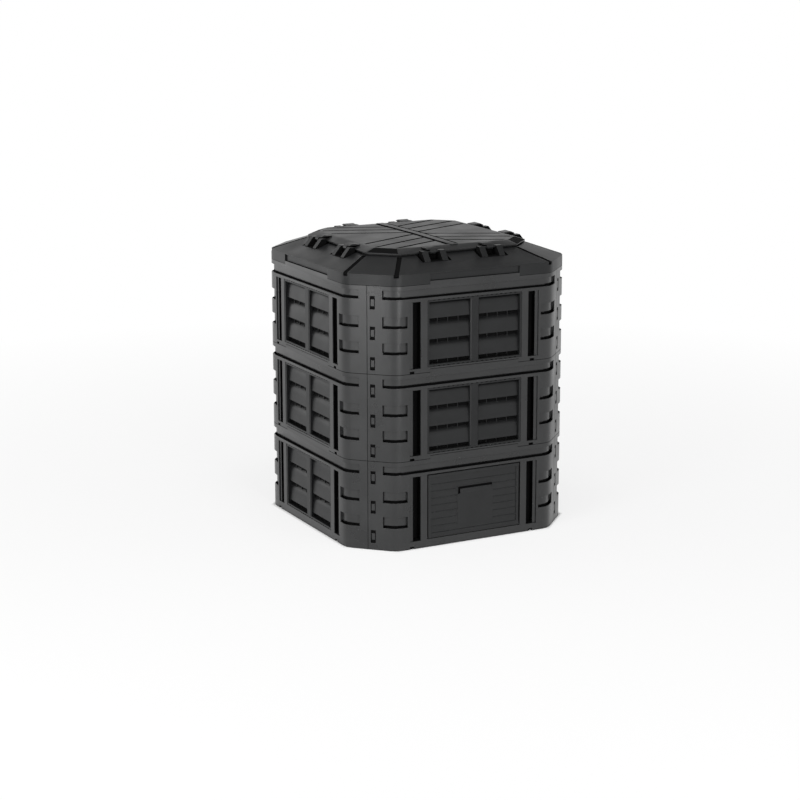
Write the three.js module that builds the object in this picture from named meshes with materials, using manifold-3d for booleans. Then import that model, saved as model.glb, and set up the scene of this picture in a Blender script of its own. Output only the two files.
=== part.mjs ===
// Modular garden compost bin with a lid: three tiers of four interlocking wall
// panels, louvred vent inserts, a tip-out emptying flap, an octagonal lid frame and a
// hinged hatch. Millimetres, +Z up, origin under the middle of the footprint,
// front face towards -Y.
import * as THREE from 'three';
import { mergeVertices } from 'three/addons/utils/BufferGeometryUtils.js';
import Module from 'manifold-3d';

const wasm = await Module();
wasm.setup();

// Overall plan of the walls
const WIDTH = 930;              // across two opposite faces
const CHAMFER = 140;            // leg of each cut corner
const CORNER_RADIUS = 60;       // rounding of the eight upright edges
const ARC_STEPS = 2;            // facets on each rounded edge
const SKIN = 4;                 // thickness of a moulded wall
const GAP = 0.3;                // between pieces that touch
const OVERRUN = 2;              // how far a cut runs past what it cuts
const SINK = 0.4;               // how far a joined feature sinks into its wall

// Tiers of wall panels
const TIER_COUNT = 3;
const TIER_PITCH = 325.5;
const BASE_EXTRA = 11.5;        // the bottom tier is this much taller
const TONGUE_INSET = 12;        // raised tongue's end inside the window's side
const TONGUE_RISE = 12;         // tongue on each panel's top edge

// Sunk bands and blocks moulded round the upright edges
const RECESS = 9;               // how far their faces lie behind the wall
const LOUVRE_SLOT = 6;          // open slot under each of them
const BAND_TOP = 16.5;          // from the panel's top edge down
const BAND_HEIGHT = 27;
const BLOCK_HEIGHT = 36;
const BLOCK_TOPS = [113, 209];  // from the panel's top edge down
const CORNER_REACH = 45;        // from a cut corner's middle to their ends
const BLOCK_MARGIN = 45;        // from a block's end to the end of the flat face

// Corner seam and its three hooks
const SEAM_OFFSET = 13;         // from the cut corner's middle
const SLOT_START = -2;          // hook slot, from the corner's middle
const SLOT_WIDTH = 19;
const SLOT_HEIGHT = 49;
const HOOK_COUNT = 3;
const HOOK_TOP = 62;            // upper slot's centre, from the panel's top edge down
const HOOK_FOOT = 39;           // lower slot's centre, from a stacked panel's lower edge up
const HOOK_WIDTH = 13;
const HOOK_HEIGHT = 25;
const HOOK_SET_BACK = 1;        // hook face behind the wall's face
const TAB_REACH = 25;           // hook tab's end past the corner's middle
const TAB_ROOT = 17;            // tab's lap behind its own wall
const TAB_THICK = 4;
const TAB_END_MARGIN = 16;      // tab stops short of the tier's edges

// Window in each panel, and the ledge behind it
const POST_WIDTH = 27;          // between the window and its channels
const WINDOW_TOP = 59;          // from the panel's top edge down
const WINDOW_SILL = 19;         // from a stacked panel's lower edge up
const LEDGE_IN = 6;             // ledge showing inside the window
const LEDGE_OUT = 8;            // ledge lapped behind the wall
const LEDGE_THICK = 4;

// Upright air channels beside the window, each with a baffle behind
const CHANNEL_WIDTH = 45;
const CHANNEL_MARGIN = 54;      // from a channel to the end of the flat face
const CHANNEL_TOP = 62;         // from the panel's top edge down
const CHANNEL_FOOT = 17;        // from a stacked panel's lower edge up
const BAFFLE_DEPTH = 36;        // baffle's face behind the wall's face
const BAFFLE_THICK = 3.5;
const BAFFLE_LAP = 4;           // baffle wider than its channel by this at the corner
const BAFFLE_PASS = 10;         // and by this beside the window
const CHANNEL_SHELF = 4;        // shelf above and below the channel
const KEY_WIDTH = 19;           // dark key notch in the panel's lower edge
const KEY_HEIGHT = 9;
const KEY_SHIFT = 9;            // of the right notch from its channel's inner side

// Vent insert
const INSERT_SET_BACK = 1.2;    // its face behind the wall's face
const INSERT_DEPTH = 28;
const INSERT_BORDER = 8;
const MULLION = 36;
const LOUVRE_ROWS = 3;
const LOUVRE_DROP_SHARE = 0.8;  // height of a blade, of the pitch of the rows
const BLADE_THICK = 3;
const BLADE_INNER = 24;         // depth of a blade's top edge
const BLADE_KNEE = 15;          // depth at the upper bend
const BLADE_BELLY = 11.5;       // depth at the lower bend
const BLADE_LIP = 9.5;          // depth of its bottom edge
const UPSTAND_SHARE = 0.8;      // upstand behind the gap above a blade, of the gap
const BLADE_KNEE_SHARE = 0.2;   // upper bend, of a blade's height
const BLADE_BELLY_SHARE = 0.5;  // lower bend

// Emptying flap
const FLAP_SIDE_GAP = 5;
const FLAP_TOP_GAP = 4;
const FLAP_BORDER = 12;
const FLAP_RAISE = 0.8;         // border and ribs stand proud by this
const FLAP_RIBS = 7;
const RIB_HEIGHT = 3;
const BARREL_RADIUS = 3.5;      // hinge barrel on the flap's lower edge
const BARREL_CLEARANCE = 0.6;
const BARREL_SET_BACK = 0.2;
const FLAP_PIN_RADIUS = 2.5;
const FLAP_PIN_REACH = 4;       // pin's hold inside the wall
const PIN_CLEARANCE = 0.4;
const BOSS_HALF = 8;
const BOSS_DEPTH = 12;
const GRIP_HALF = 73;           // finger recess in the flap
const GRIP_SHIFT = 5;
const GRIP_DROP = 60;           // from the flap's top edge down
const GRIP_HEIGHT = 28;
const GRIP_DEPTH = 9;
const GRIP_ROOF = 11;           // full depth for this height under its top edge
const GRIP_LEVEL = 0.5;         // its foot behind the flap's face
const GRIP_WALL = 2.5;
const PLAQUE_HALF = 76;         // bare square under the grip
const PLAQUE_DROP = 95;
const PLAQUE_HEIGHT = 115;

// Lid frame
const RIM_HEIGHT = 41;
const RIM_STEP = 6;             // middle of each rim face is sunk by this
const EAVE = 4;                 // lip left above the sunk middle
const LIP_DROP = 10;            // locating lips reach this far into the walls
const SLOPE_RISE = 44.5;
const SLOPE_SKIN = 7;           // upright thickness of the sloping part
const SHOULDER = 135;           // plan width from the outer face to the mouth
const MOUTH_CUT = 85;           // each side of the mouth ends this far inside a flat face
const SEAT_WIDTH = 14;          // flat seat round the mouth
const SEAT_CORNER = 9;          // growth of the side's end across the seat
const SEAT_RADIUS = 16;
const GROOVE_WIDTH = 17;        // drain grooves along the eight hips
const GROOVE_DEPTH = 5;
const GROOVE_START_SHARE = 0.06;
const NOTCH_WIDTH = 19;         // drain notch where a groove meets the rim
const NOTCH_HEIGHT = 11;
const NOTCH_DEPTH = 5;

// Clip stations: ears and a pin on the frame, a hook on the hatch
const CLIP_SHARE = 0.5;         // of half a side, from its middle to a clip
const PIN_OUT = 10;             // pin's axis outside the seat's edge
const PIN_ABOVE = 11;           // pin's axis above the seat
const CLIP_PIN_RADIUS = 4.5;
const POCKET_HALF = 60;
const POCKET_REACH = 46;        // pocket's length down the slope
const POCKET_DROP = 19;         // pocket's floor under the seat
const POCKET_WALL = 4;
const EAR_GAP = 25;             // from the hook's middle to an ear
const EAR_WIDTH = 24;
const EAR_ABOVE_PIN = 5.5;
const EAR_NOSE = 10;            // level top of an ear outside the pin
const EAR_TOE = 3;              // height of an ear's outer end
const EAR_CLEARANCE = 3;        // between an ear and the hatch's edge
const PIN_FACETS = 10;

// Hatch
const HATCH_INSET = 4;          // its edge inside the seat's outer edge
const HATCH_HEIGHT = 26.5;      // seat to crown
const HATCH_SIDE = 10;
const HATCH_UNDERCUT = 6;       // its foot is drawn in by this
const UNDERCUT_RISE = 6;
const HATCH_BEVEL_IN = 38;
const HATCH_BEVEL_RISE = 12.5;
const HATCH_SKIN = 3.5;
const HATCH_RADIUS = 14;
const CROWN_SHARE = 0.55;       // plan of the crown's middle ring
const CROWN_RISE_SHARE = 0.6;   // rise of that ring
const SPINE_HALF = 14;          // half width of the raised rib from front to back
const SPINE_RAISE = 1.6;
const VEIN_STARTS = [15, 100, 185]; // grooves off the spine, from the crown's middle
const VEIN_ANGLE = Math.PI * 2 / 15;
const VEIN_WIDTH = 13;
const VEIN_DEPTH = 4.5;
const VEIN_MARGIN = 14;         // they stop this far inside the crown's edge
const PLATEAU_SHARE = 0.1;      // level middle of the crown
const HOOK_RING = 4;            // wall of a hatch hook round its pin
const HOOK_HALF = 12;
const HINGE_MOUTH = 7.4;        // opening in a hinge hook, facing down
const LUG_HALF = 22;            // raised lug over each hook
const LUG_RISE = 6;             // lug's top above the bevel's outer part
const LUG_LENGTH = 46;

// Worked out from the sizes above
const HALF = WIDTH / 2;
const FLAT = HALF - CHAMFER;
const CHANNEL_OUTER = FLAT - CHANNEL_MARGIN;
const CHANNEL_INNER = CHANNEL_OUTER - CHANNEL_WIDTH;
const WINDOW_HALF = CHANNEL_INNER - POST_WIDTH;
const TONGUE_HALF = WINDOW_HALF - TONGUE_INSET;
const WINDOW_HEIGHT = TIER_PITCH - WINDOW_TOP - WINDOW_SILL;
const CHANNEL_HEIGHT = TIER_PITCH - CHANNEL_TOP - CHANNEL_FOOT;
const HOOK_SPACING = (TIER_PITCH - HOOK_TOP - HOOK_FOOT) / (HOOK_COUNT - 1);
const LOUVRE_PITCH = (WINDOW_HEIGHT - 2 * INSERT_BORDER) / LOUVRE_ROWS;
const LOUVRE_DROP = LOUVRE_PITCH * LOUVRE_DROP_SHARE;
const BLADE_UPSTAND = (LOUVRE_PITCH - LOUVRE_DROP) * UPSTAND_SHARE;
const BLOCK_FACE_END = FLAT - BLOCK_MARGIN;
const CORNER_TURN = Math.PI / 4;
const CORNER_TAN = Math.tan(CORNER_TURN / 2);
const WALL_TOP = BASE_EXTRA + TIER_COUNT * TIER_PITCH;
const RIM_TOP = WALL_TOP + RIM_HEIGHT;
const SEAT_Z = RIM_TOP + SLOPE_RISE;
const MOUTH_HALF = HALF - SHOULDER;
const MOUTH_FLAT = FLAT - MOUTH_CUT;
const CLIP_SPACING = MOUTH_FLAT * CLIP_SHARE;
const SEAT_HALF = MOUTH_HALF + SEAT_WIDTH;
const SEAT_FLAT = MOUTH_FLAT + SEAT_CORNER;
const PIN_Y = SEAT_HALF + PIN_OUT;
const PIN_Z = SEAT_Z + PIN_ABOVE;

const FACES = ['front', 'right', 'back', 'left'];
const TIERS = ['bottom', 'middle', 'top'];

// Solids
function closed(geometry) {
  return new wasm.Manifold(new wasm.Mesh({
    numProp: 3,
    vertProperties: new Float32Array(geometry.attributes.position.array),
    triVerts: new Uint32Array(geometry.index.array),
  }));
}

function solid(geometry) {
  const bare = geometry.index ? geometry.toNonIndexed() : geometry.clone();
  bare.deleteAttribute('normal');
  bare.deleteAttribute('uv');
  return closed(mergeVertices(bare));
}

function join(solids) {
  return solids.reduce((whole, piece) => whole.add(piece));
}

function cut(body, tools) {
  return tools.reduce((rest, tool) => rest.subtract(tool), body);
}

function toGeometry(manifold) {
  const mesh = manifold.getMesh();
  const geometry = new THREE.BufferGeometry();
  geometry.setAttribute('position', new THREE.BufferAttribute(mesh.vertProperties, mesh.numProp));
  geometry.setIndex(new THREE.BufferAttribute(mesh.triVerts, 1));
  geometry.computeVertexNormals();
  return geometry;
}

function block(x0, x1, y0, y1, z0, z1) {
  const geometry = new THREE.BoxGeometry(x1 - x0, y1 - y0, z1 - z0);
  geometry.translate((x0 + x1) / 2, (y0 + y1) / 2, (z0 + z1) / 2);
  return solid(geometry);
}

function upright(points, z0, z1) {
  const shape = new THREE.Shape(points.map(([x, y]) => new THREE.Vector2(x, y)));
  const geometry = new THREE.ExtrudeGeometry(shape, { depth: z1 - z0, bevelEnabled: false });
  geometry.translate(0, 0, z0);
  return solid(geometry);
}

// A section drawn in y and z, run along x
function sideways(points, x0, x1) {
  const shape = new THREE.Shape(points.map(([y, z]) => new THREE.Vector2(y, z)));
  const geometry = new THREE.ExtrudeGeometry(shape, { depth: x1 - x0, bevelEnabled: false });
  const turn = new THREE.Matrix4().makeBasis(
    new THREE.Vector3(0, 1, 0), new THREE.Vector3(0, 0, 1), new THREE.Vector3(1, 0, 0));
  geometry.applyMatrix4(turn);
  geometry.translate(x0, 0, 0);
  return solid(geometry);
}

function rod(radius, x0, x1, y, z, facets = PIN_FACETS) {
  const geometry = new THREE.CylinderGeometry(radius, radius, x1 - x0, facets);
  geometry.rotateZ(Math.PI / 2);
  geometry.rotateX(Math.PI / facets);
  geometry.translate((x0 + x1) / 2, y, z);
  return solid(geometry);
}

// Places along a wall: on the flat face by x, or on a cut corner (-1 left, 1 right)
// by the distance from that corner's middle towards the face
const onFace = (x) => ({ corner: 0, at: x });
const onCorner = (corner, at) => ({ corner, at });

function wallPoint({ corner, at }, depth) {
  if (corner === 0) return [at, depth - HALF];
  const middle = (FLAT + HALF) / 2;
  const x = corner * (middle - (at + depth) * Math.SQRT1_2);
  const y = (depth - at) * Math.SQRT1_2 - middle;
  return [x, y];
}

function cornerArc(corner, depth) {
  const centreX = corner * (FLAT - CORNER_RADIUS * CORNER_TAN);
  const centreY = CORNER_RADIUS - HALF;
  const radius = CORNER_RADIUS - depth;
  const points = [];
  for (let step = 0; step <= ARC_STEPS; step += 1) {
    const swing = corner < 0 ? step / ARC_STEPS - 1 : step / ARC_STEPS;
    const angle = CORNER_TURN * swing;
    points.push([centreX + radius * Math.sin(angle), centreY - radius * Math.cos(angle)]);
  }
  return points;
}

function wallPath(from, to, depth) {
  const points = [wallPoint(from, depth)];
  if (from.corner < 0 && to.corner > -1) points.push(...cornerArc(-1, depth));
  if (from.corner < 1 && to.corner > 0) points.push(...cornerArc(1, depth));
  points.push(wallPoint(to, depth));
  return points;
}

// A strip that follows the wall between two depths
function strip(from, to, depth0, depth1, z0, z1) {
  const outline = [...wallPath(from, to, depth0), ...wallPath(from, to, depth1).reverse()];
  return upright(outline, z0, z1);
}

// A closed solid through rounded octagons, each given by its half width, the end of
// its flat sides, its corner radius and its height
function octagon([half, flat, radius, z]) {
  const upwards = new THREE.Vector3(0, 0, 1);
  const points = [];
  for (let side = 0; side < 4; side += 1) {
    for (const end of [-1, 1]) {
      for (let step = 0; step <= ARC_STEPS; step += 1) {
        const swing = end < 0 ? step / ARC_STEPS - 1 : step / ARC_STEPS;
        const angle = CORNER_TURN * swing;
        const x = end * (flat - radius * CORNER_TAN) + radius * Math.sin(angle);
        const y = radius - half - radius * Math.cos(angle);
        points.push(new THREE.Vector3(x, y, z).applyAxisAngle(upwards, side * Math.PI / 2));
      }
    }
  }
  return points;
}

function loft(rings) {
  const loops = rings.map(octagon);
  const size = loops[0].length;
  const points = loops.flat();
  const bottom = new THREE.Vector3(0, 0, rings[0][3]);
  const top = new THREE.Vector3(0, 0, rings[rings.length - 1][3]);
  const bottomIndex = points.push(bottom) - 1;
  const topIndex = points.push(top) - 1;
  const faces = [];
  for (let i = 0; i < size; i += 1) {
    const next = (i + 1) % size;
    faces.push(bottomIndex, next, i);
    for (let ring = 0; ring < loops.length - 1; ring += 1) {
      const low = ring * size;
      const high = low + size;
      faces.push(low + i, low + next, high + next, low + i, high + next, high + i);
    }
    const last = (loops.length - 1) * size;
    faces.push(last + i, last + next, topIndex);
  }
  const geometry = new THREE.BufferGeometry();
  const places = points.flatMap((point) => point.toArray());
  geometry.setAttribute('position', new THREE.Float32BufferAttribute(places, 3));
  geometry.setIndex(faces);
  return solid(geometry);
}

function turned(body, quarters) {
  return closed(toGeometry(body).rotateZ(quarters * Math.PI / 2));
}

// Wall panel, drawn as the front one with its lower edge at height zero
const PANEL_LEFT = onCorner(-1, GAP / 2 - SEAM_OFFSET);
const PANEL_RIGHT = onCorner(1, GAP / 2 + SEAM_OFFSET);

function recess(from, to, wideFrom, wideTo, top, height) {
  const floor = top - height;
  const backing = strip(wideFrom, wideTo, SKIN - SINK, RECESS + SKIN, floor, top + SKIN);
  const opening = strip(from, to, -OVERRUN, RECESS, floor - LOUVRE_SLOT, top);
  return { backing, opening };
}

function bandRecess(height) {
  return recess(
    onCorner(-1, CORNER_REACH), onCorner(1, CORNER_REACH),
    onCorner(-1, CORNER_REACH - SKIN), onCorner(1, CORNER_REACH - SKIN),
    height - BAND_TOP, BAND_HEIGHT);
}

function blockRecess(corner, top) {
  const inner = onFace(corner * BLOCK_FACE_END);
  const innerWide = onFace(corner * (BLOCK_FACE_END - SKIN));
  const outer = onCorner(corner, CORNER_REACH);
  const outerWide = onCorner(corner, CORNER_REACH - SKIN);
  if (corner < 0) return recess(outer, inner, outerWide, innerWide, top, BLOCK_HEIGHT);
  return recess(inner, outer, innerWide, outerWide, top, BLOCK_HEIGHT);
}

function baffle(side, height) {
  const outer = CHANNEL_OUTER + BAFFLE_LAP;
  const inner = CHANNEL_INNER - BAFFLE_PASS;
  const [low, high] = side < 0 ? [-outer, -inner] : [inner, outer];
  const [near, far] = side < 0 ? [-outer, BAFFLE_THICK - outer] : [outer - BAFFLE_THICK, outer];
  const top = height - CHANNEL_TOP;
  const foot = top - CHANNEL_HEIGHT;
  const back = BAFFLE_DEPTH + BAFFLE_THICK - HALF;
  const wall = SKIN - SINK - HALF;
  const plate = block(low, high, BAFFLE_DEPTH - HALF, back, GAP, top + CHANNEL_SHELF);
  const sideReturn = block(near, far, wall, back, GAP, top + CHANNEL_SHELF);
  const roof = block(low, high, wall, back, top, top + CHANNEL_SHELF);
  const sill = block(low, high, wall, back, foot - CHANNEL_SHELF, foot);
  return join([plate, sideReturn, roof, sill]);
}

function channel(side, height) {
  const near = side < 0 ? -CHANNEL_OUTER : CHANNEL_INNER;
  const far = side < 0 ? -CHANNEL_INNER : CHANNEL_OUTER;
  const top = height - CHANNEL_TOP;
  return block(near, far, -HALF - OVERRUN, SKIN - HALF + OVERRUN, top - CHANNEL_HEIGHT, top);
}

// The ledge that an insert seats on; the flap's window has none along its foot
function windowLedge(height, forFlap) {
  const top = height - WINDOW_TOP;
  const foot = top - WINDOW_HEIGHT;
  const outer = WINDOW_HALF + LEDGE_OUT;
  const low = forFlap ? foot : foot - LEDGE_OUT;
  return block(-outer, outer, SKIN - SINK - HALF, SKIN + LEDGE_THICK - HALF, low, top + LEDGE_OUT);
}

function windowOpenings(height, forFlap) {
  const top = height - WINDOW_TOP;
  const foot = top - WINDOW_HEIGHT;
  const inner = WINDOW_HALF - LEDGE_IN;
  const low = forFlap ? foot : foot + LEDGE_IN;
  const front = -HALF - OVERRUN;
  const back = SKIN + LEDGE_THICK - HALF + OVERRUN;
  return [
    block(-WINDOW_HALF, WINDOW_HALF, front, SKIN - SINK - HALF, foot, top),
    block(-inner, inner, front, back, low, top - LEDGE_IN),
  ];
}

function hookDrops() {
  return Array.from({ length: HOOK_COUNT }, (_, i) => HOOK_TOP + i * HOOK_SPACING);
}

function hookTab(height) {
  const back = SKIN + GAP + TAB_THICK;
  const low = TAB_END_MARGIN;
  const high = height - TAB_END_MARGIN;
  const start = onCorner(1, SEAM_OFFSET + TAB_ROOT);
  const root = strip(start, onCorner(1, SEAM_OFFSET + GAP), SKIN - SINK, back, low, high);
  const plate = strip(start, onCorner(1, -TAB_REACH), SKIN + GAP, back, low, high);
  const centre = SLOT_START + SLOT_WIDTH / 2;
  const hooks = hookDrops().map((drop) => strip(
    onCorner(1, HOOK_WIDTH / 2 - centre), onCorner(1, -HOOK_WIDTH / 2 - centre),
    HOOK_SET_BACK, SKIN + GAP + SINK,
    height - drop - HOOK_HEIGHT / 2, height - drop + HOOK_HEIGHT / 2));
  return join([root, plate, ...hooks]);
}

function hookSlots(height) {
  return hookDrops().map((drop) => strip(
    onCorner(-1, SLOT_START), onCorner(-1, SLOT_START + SLOT_WIDTH), -OVERRUN, SKIN + OVERRUN,
    height - drop - SLOT_HEIGHT / 2, height - drop + SLOT_HEIGHT / 2));
}

// The flap's hinge axis, in the panel's frame
const flapAxis = (height) => ({
  y: BARREL_SET_BACK + BARREL_RADIUS - HALF,
  z: height - WINDOW_TOP - WINDOW_HEIGHT + BARREL_CLEARANCE + BARREL_RADIUS,
});

function hingeBoss(side, height) {
  const axis = flapAxis(height);
  const inner = side * (WINDOW_HALF - LEDGE_IN);
  const outer = side * (WINDOW_HALF + LEDGE_OUT);
  return block(Math.min(inner, outer), Math.max(inner, outer),
    SKIN - SINK - HALF, BOSS_DEPTH - HALF, axis.z - BOSS_HALF, axis.z + BOSS_HALF);
}

function hingeBore(height) {
  const axis = flapAxis(height);
  const reach = WINDOW_HALF + FLAP_PIN_REACH + GAP;
  return rod(FLAP_PIN_RADIUS + PIN_CLEARANCE, -reach, reach, axis.y, axis.z);
}

function keyNotch(left) {
  return block(left, left + KEY_WIDTH, -HALF - OVERRUN, SKIN - HALF + OVERRUN, -OVERRUN, KEY_HEIGHT);
}

function wallPanel({ height, stacked, forFlap }) {
  const base = stacked ? GAP : 0;
  const recesses = [bandRecess(height)];
  for (const corner of [-1, 1]) {
    for (const top of BLOCK_TOPS) recesses.push(blockRecess(corner, height - top));
  }
  const adds = [
    strip(PANEL_LEFT, PANEL_RIGHT, 0, SKIN, base, height),
    strip(onFace(-TONGUE_HALF), onFace(TONGUE_HALF), 0, SKIN, height - SINK, height + TONGUE_RISE),
    hookTab(height),
    baffle(-1, height),
    baffle(1, height),
    windowLedge(height, forFlap),
    ...recesses.map((entry) => entry.backing),
  ];
  if (forFlap) adds.push(hingeBoss(-1, height), hingeBoss(1, height));
  const cuts = [
    ...recesses.map((entry) => entry.opening),
    ...hookSlots(height),
    channel(-1, height),
    channel(1, height),
    keyNotch(-CHANNEL_OUTER),
    keyNotch(CHANNEL_INNER + KEY_SHIFT),
    ...windowOpenings(height, forFlap),
  ];
  if (stacked) {
    cuts.push(block(-TONGUE_HALF - GAP, TONGUE_HALF + GAP,
      -HALF - OVERRUN, SKIN + GAP - HALF, -OVERRUN, TONGUE_RISE + GAP));
  }
  if (forFlap) cuts.push(hingeBore(height));
  return cut(join(adds), cuts);
}

// Vent insert, drawn in its window with the window's foot at height zero
function ventInsert() {
  const half = WINDOW_HALF - GAP;
  const body = WINDOW_HALF - LEDGE_IN - GAP;
  const ledgeFront = SKIN - SINK - GAP;
  const flange = block(-half, half, INSERT_SET_BACK - HALF, ledgeFront - HALF, GAP, WINDOW_HEIGHT - GAP);
  const box = block(-body, body, INSERT_SET_BACK - HALF, INSERT_DEPTH - HALF,
    LEDGE_IN + GAP, WINDOW_HEIGHT - LEDGE_IN - GAP);
  const voidEnd = WINDOW_HALF - INSERT_BORDER - GAP;
  const top = WINDOW_HEIGHT - INSERT_BORDER;
  const foot = top - LOUVRE_ROWS * LOUVRE_PITCH;
  const columns = [[-voidEnd, -MULLION / 2], [MULLION / 2, voidEnd]];
  const holes = columns.map(([x0, x1]) => block(
    x0, x1, INSERT_SET_BACK - HALF - OVERRUN, INSERT_DEPTH - HALF + OVERRUN, foot, top));
  const blades = [];
  for (const [x0, x1] of columns) {
    for (let row = 0; row < LOUVRE_ROWS; row += 1) {
      const upstand = row > 0 ? BLADE_UPSTAND : 0;
      blades.push(blade(top - row * LOUVRE_PITCH, upstand, x0 - SINK, x1 + SINK));
    }
    blades.push(block(x0 - SINK, x1 + SINK, BLADE_INNER - HALF, BLADE_INNER + BLADE_THICK - HALF,
      foot - SINK, foot + BLADE_UPSTAND));
  }
  return join([cut(join([flange, box]), holes), ...blades]);
}

function blade(ridge, upstand, x0, x1) {
  const knee = ridge - LOUVRE_DROP * BLADE_KNEE_SHARE;
  const belly = ridge - LOUVRE_DROP * BLADE_BELLY_SHARE;
  const outline = [
    ...(upstand > 0 ? [[BLADE_INNER, ridge + upstand]] : []),
    [BLADE_INNER, ridge],
    [BLADE_KNEE, knee],
    [BLADE_BELLY, belly],
    [BLADE_LIP, ridge - LOUVRE_DROP],
    [BLADE_LIP + BLADE_THICK, ridge - LOUVRE_DROP],
    [BLADE_BELLY + BLADE_THICK, belly],
    [BLADE_KNEE + BLADE_THICK, knee - BLADE_THICK],
    [BLADE_INNER + BLADE_THICK, ridge - BLADE_THICK],
    ...(upstand > 0 ? [[BLADE_INNER + BLADE_THICK, ridge + upstand]] : []),
  ];
  return sideways(outline.map(([depth, z]) => [depth - HALF, z]), x0, x1);
}

// Emptying flap, in the frame of the bottom front panel
function emptyingFlap(height) {
  const axis = flapAxis(height);
  const half = WINDOW_HALF - FLAP_SIDE_GAP;
  const barrelHalf = WINDOW_HALF - LEDGE_IN - BARREL_CLEARANCE;
  const back = SKIN - SINK - GAP - HALF;
  const face = FLAP_RAISE - HALF;
  const top = height - WINDOW_TOP - FLAP_TOP_GAP;
  const shoulder = axis.z + BARREL_RADIUS;
  const gripTop = top - GRIP_DROP;
  const gripFoot = gripTop - GRIP_HEIGHT;
  const inner = half - FLAP_BORDER;
  const plate = block(-half, half, face, back, shoulder, top);
  const border = cut(
    block(-half, half, -HALF, face + SINK, shoulder, top),
    [block(-inner, inner, -HALF - OVERRUN, face + OVERRUN, shoulder + FLAP_BORDER, top - FLAP_BORDER)]);
  const skirt = block(-barrelHalf, barrelHalf, face, back, axis.z, shoulder + SINK);
  const barrel = rod(BARREL_RADIUS, -barrelHalf, barrelHalf, axis.y, axis.z);
  const pinEnd = WINDOW_HALF + FLAP_PIN_REACH;
  const pins = rod(FLAP_PIN_RADIUS, -pinEnd, pinEnd, axis.y, axis.z);
  const cup = block(GRIP_SHIFT - GRIP_HALF - GRIP_WALL, GRIP_SHIFT + GRIP_HALF + GRIP_WALL,
    face, GRIP_DEPTH + GRIP_WALL - HALF, gripFoot - GRIP_WALL, gripTop + GRIP_WALL);
  const scoop = sideways([
    [-HALF - OVERRUN, gripFoot],
    [GRIP_LEVEL + FLAP_RAISE - HALF, gripFoot],
    [GRIP_DEPTH - HALF, gripTop - GRIP_ROOF],
    [GRIP_DEPTH - HALF, gripTop],
    [-HALF - OVERRUN, gripTop],
  ], GRIP_SHIFT - GRIP_HALF, GRIP_SHIFT + GRIP_HALF);
  const plaque = block(GRIP_SHIFT - PLAQUE_HALF, GRIP_SHIFT + PLAQUE_HALF, -HALF - OVERRUN, face,
    top - PLAQUE_DROP - PLAQUE_HEIGHT, top - GRIP_DROP + GRIP_WALL);
  const ribZone = top - shoulder - 2 * FLAP_BORDER;
  const ribs = [];
  for (let rib = 1; rib <= FLAP_RIBS; rib += 1) {
    const middle = shoulder + FLAP_BORDER + ribZone * rib / (FLAP_RIBS + 1);
    ribs.push(block(-inner - SINK, inner + SINK, -HALF, face + SINK,
      middle - RIB_HEIGHT / 2, middle + RIB_HEIGHT / 2));
  }
  const ribbed = cut(join(ribs), [plaque]);
  return cut(join([plate, border, ribbed, skirt, barrel, pins, cup]), [scoop]);
}

// Lid frame
function hipGroove(hand) {
  const foot = new THREE.Vector3(hand * FLAT, -HALF, RIM_TOP);
  const head = new THREE.Vector3(hand * SEAT_FLAT, -SEAT_HALF, SEAT_Z);
  const along = head.clone().sub(foot);
  const start = foot.clone().addScaledVector(along, GROOVE_START_SHARE);
  const length = start.distanceTo(head);
  const run = along.clone().normalize();
  const across = new THREE.Vector3(-run.y, run.x, 0).normalize();
  const up = new THREE.Vector3().crossVectors(run, across);
  if (up.z < 0) up.negate();
  const side = new THREE.Vector3().crossVectors(up, run);
  const geometry = new THREE.BoxGeometry(length, GROOVE_WIDTH, 2 * GROOVE_DEPTH);
  const middle = start.add(head).multiplyScalar(1 / 2);
  geometry.applyMatrix4(new THREE.Matrix4().makeBasis(run, side, up).setPosition(middle));
  return solid(geometry);
}

function rimNotch(hand) {
  const half = CORNER_TURN / 2;
  const radius = CORNER_RADIUS;
  const x = hand * (FLAT - radius * CORNER_TAN + radius * Math.sin(half));
  const y = radius - HALF - radius * Math.cos(half);
  const geometry = new THREE.BoxGeometry(NOTCH_WIDTH, 2 * NOTCH_DEPTH, NOTCH_HEIGHT + OVERRUN);
  geometry.rotateZ(hand * half);
  geometry.translate(x, y, RIM_TOP - (NOTCH_HEIGHT - OVERRUN) / 2);
  return solid(geometry);
}

const pocketFloor = SEAT_Z - POCKET_DROP;

function pocketBlock(x) {
  const half = POCKET_HALF + POCKET_WALL;
  return block(x - half, x + half, -SEAT_HALF - POCKET_REACH - POCKET_WALL, -MOUTH_HALF,
    pocketFloor - POCKET_WALL, SEAT_Z + OVERRUN);
}

function pocketRoom(x) {
  return block(x - POCKET_HALF, x + POCKET_HALF, -HALF, -MOUTH_HALF - SKIN,
    pocketFloor, PIN_Z + EAR_ABOVE_PIN + OVERRUN);
}

function clipEars(x) {
  const innerLow = -MOUTH_HALF - SKIN + SINK;
  const innerHigh = HATCH_INSET - SEAT_HALF - EAR_CLEARANCE;
  const outline = [
    [innerLow, pocketFloor - SINK],
    [-SEAT_HALF - POCKET_REACH, pocketFloor - SINK],
    [-SEAT_HALF - POCKET_REACH, pocketFloor + EAR_TOE],
    [-PIN_Y - EAR_NOSE, PIN_Z + EAR_ABOVE_PIN],
    [innerHigh, PIN_Z + EAR_ABOVE_PIN],
    [innerHigh, SEAT_Z - OVERRUN],
    [innerLow, SEAT_Z - OVERRUN],
  ];
  const left = sideways(outline, x - EAR_GAP - EAR_WIDTH, x - EAR_GAP);
  const right = sideways(outline, x + EAR_GAP, x + EAR_GAP + EAR_WIDTH);
  const pin = rod(CLIP_PIN_RADIUS, x - EAR_GAP - SINK, x + EAR_GAP + SINK, -PIN_Y, PIN_Z);
  return join([left, right, pin]);
}

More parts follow.
